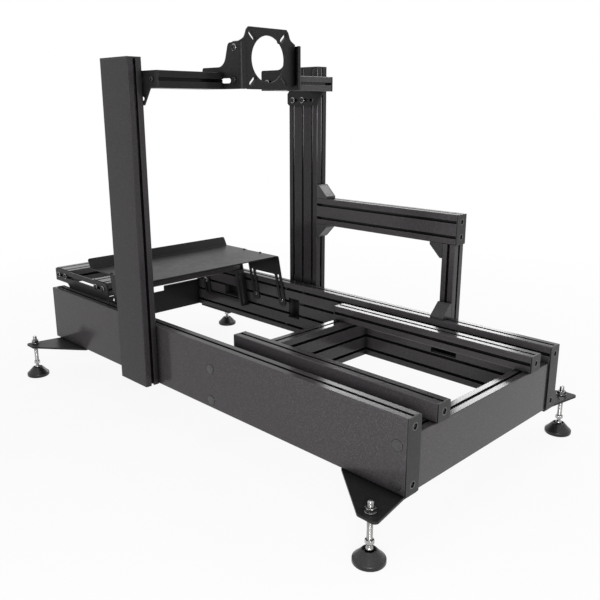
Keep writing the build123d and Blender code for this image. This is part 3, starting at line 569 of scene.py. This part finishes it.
# Screws of the wheel mount: into the crossbar ends from inside, and through the plate's flanges
screws = bmesh.new()
for sign in SIDES:
    for y in CROSSBAR_CORE_YS:
        add_button_head(screws, (sign * MOUNT_INNER_X, y, CROSSBAR_Z), (-sign, 0, 0), M8)
    for z, washer in MOUNT_SCREWS:
        add_button_head(screws, (sign * MOUNT_OUTER_X, MOUNT_SCREW_Y, z), (sign, 0, 0), M8, washer)
        add_nut(screws, (sign * MOUNT_FLANGE_X, MOUNT_SCREW_Y, z), (-sign, 0, 0), **MOUNT_NUT)
finish_piece(screws, "wheel_mount_screws", STEEL_COATS)

# Collars behind the wheel mount's radial slots, which give them their deep walls. COLLAR goes round
# their section: how much wider than the slot, and how far from the plate
MOTOR_SLOT_CIRCLE = 75.0
MOTOR_SLOT_ANGLES = (45, 135, 225, 315)
MOTOR_SLOT_LENGTH = 30.0
MOTOR_SLOT_WIDTH = 11.0
COLLAR = ((0.0, -0.1), (2.6, -0.1), (2.6, 6.6), (1.8, 7.0), (0.6, 7.0), (0.0, 6.6))
collars = bmesh.new()
for turn in MOTOR_SLOT_ANGLES:
    angle = math.radians(turn)
    along = Vector((math.cos(angle), 0, math.sin(angle)))
    centre = Vector((0, MOUNT_PLATE_BACK_Y, MOTOR_BORE_Z)) + along * MOTOR_SLOT_CIRCLE
    collar = []
    for wider, height in COLLAR:
        width = MOTOR_SLOT_WIDTH + wider
        collar.append(rounded_ring(MOTOR_SLOT_LENGTH + wider, width, width / 2 - 0.05, height))
    add_rings(collars, collar, frame_along(centre, along, Vector(FORWARD)), looped=True)
finish_piece(collars, "motor_slot_collars", (steel_black,))

# Pedal deck screws: beam ends through the slot rail, and legs to the side profiles
screws = bmesh.new()
for sign in SIDES:
    for y in DECK_SLOT_YS:
        add_button_head(screws, (sign * INNER_X, y, DECK_BEAM_Z), (sign, 0, 0), M8)
    for y, z in DECK_LEG_SCREWS:
        add_button_head(screws, (sign * DECK_PLATE_INNER_X, y, z), (-sign, 0, 0), M8)
finish_piece(screws, "pedal_deck_screws", STEEL_COATS)

# Heel tray screws: in the leg slots, and small ones on top
screws = bmesh.new()
for sign in SIDES:
    for y in TRAY_LEG_SCREW_YS:
        add_button_head(screws, (sign * TRAY_LEG_X, y, MIDDLE_CORE_Z), (-sign, 0, 0), M6)
    for y in TRAY_TOP_SCREW_YS:
        add_button_head(screws, (sign * TRAY_TOP_SCREW_X, y, TRAY_TOP_Z), UP, M5, washer=False)
finish_piece(screws, "heel_tray_screws", STEEL_COATS)

# Screws sunk in the side profiles' slots that hold the uprights, and in the seat rails' slots
screws = bmesh.new()
for sign in SIDES:
    for y in (UPRIGHT_SLOT_YS[0], UPRIGHT_SLOT_YS[2]):
        for z in (LOW_CORE_Z, HIGH_CORE_Z):
            sunk_place = (sign * (INNER_X + SLOT_SCREW_SINK), y, z)
            add_cap_head(screws, sunk_place, (-sign, 0, 0), **SUNK_SCREW)
    for y in CROSSMEMBER_YS:
        sunk_place = (sign * SEAT_RAIL_X, y, SIDE_TOP_Z - SLOT_SCREW_SINK)
        add_cap_head(screws, sunk_place, UP, **SUNK_SCREW)
finish_piece(screws, "sunk_slot_screws", STEEL_COATS)

# Screws under the foot brackets
screws = bmesh.new()
for sign in SIDES:
    for y in FOOT_SCREW_YS:
        add_button_head(screws, (sign * SIDE_PROFILE_X, y, FOOT_PLATE_UNDER_Z), DOWN, M8)
finish_piece(screws, "foot_bracket_screws", STEEL_COATS)

# Socket screws deep in the holes of the end caps, and the moulded rim round each hole. CAP_RIM goes
# round the rim's section: radius, and height above the cap
CAP_RIM = (
    (6.3, -1.2), (6.3, -0.1), (6.6, 0.45), (7.7, 0.45), (8.4, 0.05), (8.4, -0.1), (6.9, -0.4), (6.9, -1.2),
)
cap_holes = []
for sign in SIDES:
    for z in (LOW_CORE_Z, HIGH_CORE_Z):
        cap_holes.append(((sign * SIDE_PROFILE_X, REAR_END_Y, z), BACK))
        cap_holes.append(((sign * SIDE_PROFILE_X, FRONT_END_Y, z), FORWARD))
    cap_holes.append(((sign * SEAT_RAIL_X, REAR_END_Y, HIGH_CORE_Z), BACK))
    cap_holes.append(((sign * SEAT_RAIL_X, SEAT_RAIL_FRONT_Y, HIGH_CORE_Z), FORWARD))
    for y in (UPRIGHT_SLOT_YS[0], UPRIGHT_SLOT_YS[2]):
        cap_holes.append(((sign * UPRIGHT_X, y, UPRIGHT_TOP_Z), UP))
for z in ARM_CORE_ZS:
    cap_holes.append(((UPRIGHT_X, SHIFTER_ARM_END_Y, z), BACK))
screws = bmesh.new()
rims = bmesh.new()
for place, outward in cap_holes:
    sunk_place = Vector(place) - Vector(outward) * CAP_SCREW_SINK
    add_cap_head(screws, sunk_place, outward, **CAP_SCREW, coat=0)
    add_hoop(rims, CAP_RIM, frame_at(place, outward))
finish_piece(screws, "end_cap_screws", (oxide,))
finish_piece(rims, "end_cap_rims", (rim_grey,))

# Domed plugs over the crossmember bolts. PLUG is a plug's outline: radius, and height above the profile
PLUG = (
    (11.2, -0.1), (11.6, 0.1), (11.6, 0.9), (11.2, 1.3), (10.3, 1.5), (10.1, 1.45),
    (8.5, 1.65), (6.0, 1.82), (3.0, 1.95), (0.5, 2.0),
)
plugs = bmesh.new()
for sign in SIDES:
    for y in CROSSMEMBER_YS:
        for z in (LOW_CORE_Z, MIDDLE_CORE_Z):
            add_lathe(plugs, PLUG, frame_at((sign * OUTER_X, y, z), (sign, 0, 0)), PLUG_POINTS)
finish_piece(plugs, "bolt_plug_domes", (plug_black,), ("bolt_plugs",), smooth=30)

# Raised rim round the sloped face of each gusset, given by its corner and the ways its two sides run.
# GUSSET_RIM goes round the rim's section: how much narrower than the face, corner radius, and height
GUSSETS = (
    ((UPRIGHT_X, UPRIGHT_REAR_Y, ARM_TOP_Z), BACK, UP),
    ((UPRIGHT_X, UPRIGHT_REAR_Y, ARM_BOTTOM_Z), BACK, DOWN),
    ((UPRIGHT_X, POST_FRONT_Y, ARM_BOTTOM_Z), FORWARD, DOWN),
    ((OUTER_X, POST_Y, SIDE_TOP_Z), LEFT, UP),
)
GUSSET_SLOPE_MIDDLE = 23.0
GUSSET_WIDTH = 39.6
GUSSET_SLOPE_LENGTH = 47.6
GUSSET_RIM = (
    (0.0, 2.0, -0.1), (0.0, 2.0, 0.3), (0.8, 1.8, 0.7), (5.0, 1.8, 0.7), (5.8, 1.6, 0.2), (5.8, 1.6, -0.1),
)
rims = bmesh.new()
for corner, first, second in GUSSETS:
    first, second = Vector(first), Vector(second)
    middle = Vector(corner) + (first + second) * GUSSET_SLOPE_MIDDLE
    rim = [
        rounded_ring(GUSSET_WIDTH - narrower, GUSSET_SLOPE_LENGTH - narrower, radius, height)
        for narrower, radius, height in GUSSET_RIM
    ]
    matrix = frame_along(middle, first.cross(second), (first + second).normalized())
    add_rings(rims, rim, matrix, looped=True)
finish_piece(rims, "gusset_rims", (gusset_black,))

# Levelling feet: threaded stud with a domed tip, hexagon and swivel end, two nuts and two washers, and
# a pad. Outlines are radius and height above the floor, and WASHER is height above its own underside
THREAD_PITCH = 1.75
THREAD_DEPTH = 0.55
STUD_RADIUS = 6.0
STUD_CORE_START = 46.0
THREAD_START = 49.0
THREAD_END = 125.0
THREAD_STEPS = 5
THREAD_POINTS = 24
STUD_SWIVEL = (
    (6.0, 24.05), (7.6, 24.6), (8.0, 26.0), (7.7, 29.4), (6.6, 32.2),
    (5.0, 33.6), (4.2, 35.0), (4.2, 38.6), (6.0, 40.0),
)
STUD_TIP = ((5.6, 125.2), (5.2, 126.4), (4.0, 127.5), (2.2, 127.95), (0.6, 128.0))
WASHER = ((6.6, 0.0), (11.7, 0.0), (12.0, 0.3), (12.0, 1.7), (11.7, 2.0), (6.6, 2.0))
HEXAGON_Z = 40.0
LOWER_NUT_Z = 88.6
WASHER_ZS = (98.0, 105.0)
UPPER_NUT_Z = 107.0
PAD = (
    (30.8, 0.0), (31.2, 0.3), (31.2, 1.2), (32.2, 1.5), (32.5, 2.0), (32.5, 8.0),
    (32.25, 9.2), (31.5, 10.2), (30.2, 10.9), (29.0, 11.9),
    (15.4, 26.8), (14.6, 27.6), (13.6, 28.0), (12.6, 27.8), (12.1, 27.2), (12.0, 26.4),
    (11.9, 24.3), (11.4, 24.0),
)


def add_threaded_stud(mesh, matrix):
    length = THREAD_END - THREAD_START
    steps = int(length / THREAD_PITCH * THREAD_STEPS)
    rings = [circle_ring(STUD_RADIUS - THREAD_DEPTH, STUD_CORE_START, THREAD_POINTS)]
    for step in range(steps + 1):
        height = THREAD_START + length * step / steps
        ring = []
        for i in range(THREAD_POINTS):
            angle = math.tau * i / THREAD_POINTS
            phase = (height / THREAD_PITCH - i / THREAD_POINTS) % 1.0
            radius = STUD_RADIUS - THREAD_DEPTH * abs(2 * phase - 1)
            ring.append((radius * math.cos(angle), radius * math.sin(angle), height))
        rings.append(ring)
    rings += [circle_ring(radius, height, THREAD_POINTS) for radius, height in STUD_TIP]
    add_rings(mesh, rings, matrix)


for end, stud_y in zip(("rear", "front"), STUD_YS):
    for side, sign in (("left", -1), ("right", 1)):
        x = sign * STUD_X
        standing = Matrix.Translation((x * MM, stud_y * MM, 0))
        foot = f"{end}_{side}"
        stud = bmesh.new()
        add_threaded_stud(stud, standing)
        add_lathe(stud, STUD_SWIVEL, standing)
        add_nut(stud, (x, stud_y, HEXAGON_Z), UP, **STUD_HEXAGON)
        add_nut(stud, (x, stud_y, LOWER_NUT_Z), UP, **STUD_LOWER_NUT)
        for bottom in WASHER_ZS:
            add_hoop(stud, [(radius, bottom + height) for radius, height in WASHER], standing)
        add_nut(stud, (x, stud_y, UPPER_NUT_Z), UP, **STUD_UPPER_NUT)
        stud_node = (f"{foot}_foot_stud",)
        finish_piece(stud, f"{foot}_levelling_stud", STEEL_COATS, stud_node, smooth=28)

        pad = bmesh.new()
        add_lathe(pad, PAD, standing, PAD_POINTS)
        pad_node = (f"{foot}_foot_pad",)
        finish_piece(pad, f"{foot}_levelling_pad", (pad_black,), pad_node, smooth=35)


# Floor, light and camera, in metres
WHITE = (1, 1, 1, 1)
FLOOR_PAINT = (0.9, 0.9, 0.9, 1)
FLOOR_HALF = 30.0
FLOOR_Z = -0.0002
SHADOW_SHARE = 0.1
SHADOW_FADE = (0.8, 2.6)
AMBIENT = 0.45
MIDDLE = (0, 0, 0.3)
CAMERA_PLACE = (-1.27556, -1.39909, 0.81423)
CAMERA_TILT = 15.353
CAMERA_TURN = 45.088
CAMERA_LENS = 42.442
CAMERA_SENSOR = 36.0


def white_to_eye(add, link):
    """1 for camera, glossy and transmission rays, 0 for the rays that carry light."""
    path = add("ShaderNodeLightPath")
    seen = add("ShaderNodeMath", operation="ADD")
    link(path, "Is Camera Ray", seen, 0)
    link(path, "Is Glossy Ray", seen, 1)
    also = add("ShaderNodeMath", operation="ADD", use_clamp=True)
    link(seen, "Value", also, 0)
    link(path, "Is Transmission Ray", also, 1)
    return also


def floor_material():
    """Pale floor that keeps a soft share of the shadow near the object and is plain white further out."""
    material = bpy.data.materials.new("pale_floor")
    material.use_nodes = True
    add, link = node_tools(material)
    output = add("ShaderNodeOutputMaterial")
    paint = add("ShaderNodeBsdfDiffuse", Color=FLOOR_PAINT)
    glow = add("ShaderNodeEmission", Color=WHITE, Strength=1.0)
    seen = white_to_eye(add, link)
    place = add("ShaderNodeTexCoord")
    distance = add("ShaderNodeVectorMath", operation="LENGTH")
    link(place, "Object", distance, 0)
    fade = add_range(add, *SHADOW_FADE, low=1 - SHADOW_SHARE)
    link(distance, "Value", fade, "Value")
    share = add("ShaderNodeMath", operation="MULTIPLY")
    link(seen, "Value", share, 0)
    link(fade, "Result", share, 1)
    blend = add("ShaderNodeMixShader")
    link(share, "Value", blend, 0)
    link(paint, "BSDF", blend, 1)
    link(glow, "Emission", blend, 2)
    link(blend, "Shader", output, "Surface")
    return material


floor_mesh = bmesh.new()
corners = [(FLOOR_HALF * x, FLOOR_HALF * y, FLOOR_Z) for x, y in ((-1, -1), (1, -1), (1, 1), (-1, 1))]
floor_mesh.faces.new([floor_mesh.verts.new(corner) for corner in corners])
floor_data = bpy.data.meshes.new("floor")
floor_mesh.to_mesh(floor_data)
floor_mesh.free()
floor_data.materials.append(floor_material())
floor = bpy.data.objects.new("floor", floor_data)
bpy.context.scene.collection.objects.link(floor)


def make_world():
    """White to the eye and in reflections. It lights the object evenly from all sides."""
    world = bpy.data.worlds.new("studio")
    bpy.context.scene.world = world
    world.use_nodes = True
    add, link = node_tools(world)
    output = add("ShaderNodeOutputWorld")
    light = add("ShaderNodeBackground", Color=WHITE, Strength=AMBIENT)
    white = add("ShaderNodeBackground", Color=WHITE, Strength=1.0)
    seen = white_to_eye(add, link)
    blend = add("ShaderNodeMixShader")
    link(seen, "Value", blend, 0)
    link(light, "Background", blend, 1)
    link(white, "Background", blend, 2)
    link(blend, "Shader", output, "Surface")


def add_area(name, place, size, power):
    """Soft box at a place, facing the frame's middle, that is seen in reflections and not by the camera."""
    data = bpy.data.lights.new(name, "AREA")
    data.shape = "RECTANGLE"
    data.size, data.size_y = size
    data.energy = power
    lamp = bpy.data.objects.new(name, data)
    lamp.location = place
    lamp.rotation_euler = (Vector(MIDDLE) - Vector(place)).to_track_quat("-Z", "Y").to_euler()
    lamp.visible_camera = False
    bpy.context.scene.collection.objects.link(lamp)


def around(azimuth, elevation, distance):
    """Place at a distance from the frame's middle, its azimuth in degrees from +Y towards +X."""
    turn, rise = math.radians(azimuth), math.radians(elevation)
    flat_distance = distance * math.cos(rise)
    return (
        MIDDLE[0] + flat_distance * math.sin(turn),
        MIDDLE[1] + flat_distance * math.cos(turn),
        MIDDLE[2] + distance * math.sin(rise),
    )


make_world()
add_area("rear_left_light", place=(-1.8, -1.9, 0.8), size=(0.9, 0.6), power=37)
add_area("front_soft_box", place=around(57, 20, 9.0), size=(3.0, 1.5), power=95)
add_area("right_soft_box", place=around(99, 44, 3.4), size=(1.0, 0.9), power=14)
add_area("top_light", place=(-0.4, -0.6, 3.4), size=(1.8, 1.8), power=10)

camera_data = bpy.data.cameras.new("photograph_view")
camera_data.sensor_width = CAMERA_SENSOR
camera_data.lens = CAMERA_LENS
camera = bpy.data.objects.new("photograph_view", camera_data)
camera.location = CAMERA_PLACE
camera.rotation_euler = (math.radians(90 - CAMERA_TILT), 0, math.radians(-CAMERA_TURN))
bpy.context.scene.collection.objects.link(camera)
bpy.context.scene.camera = camera
bpy.context.scene.view_settings.view_transform = "Standard"
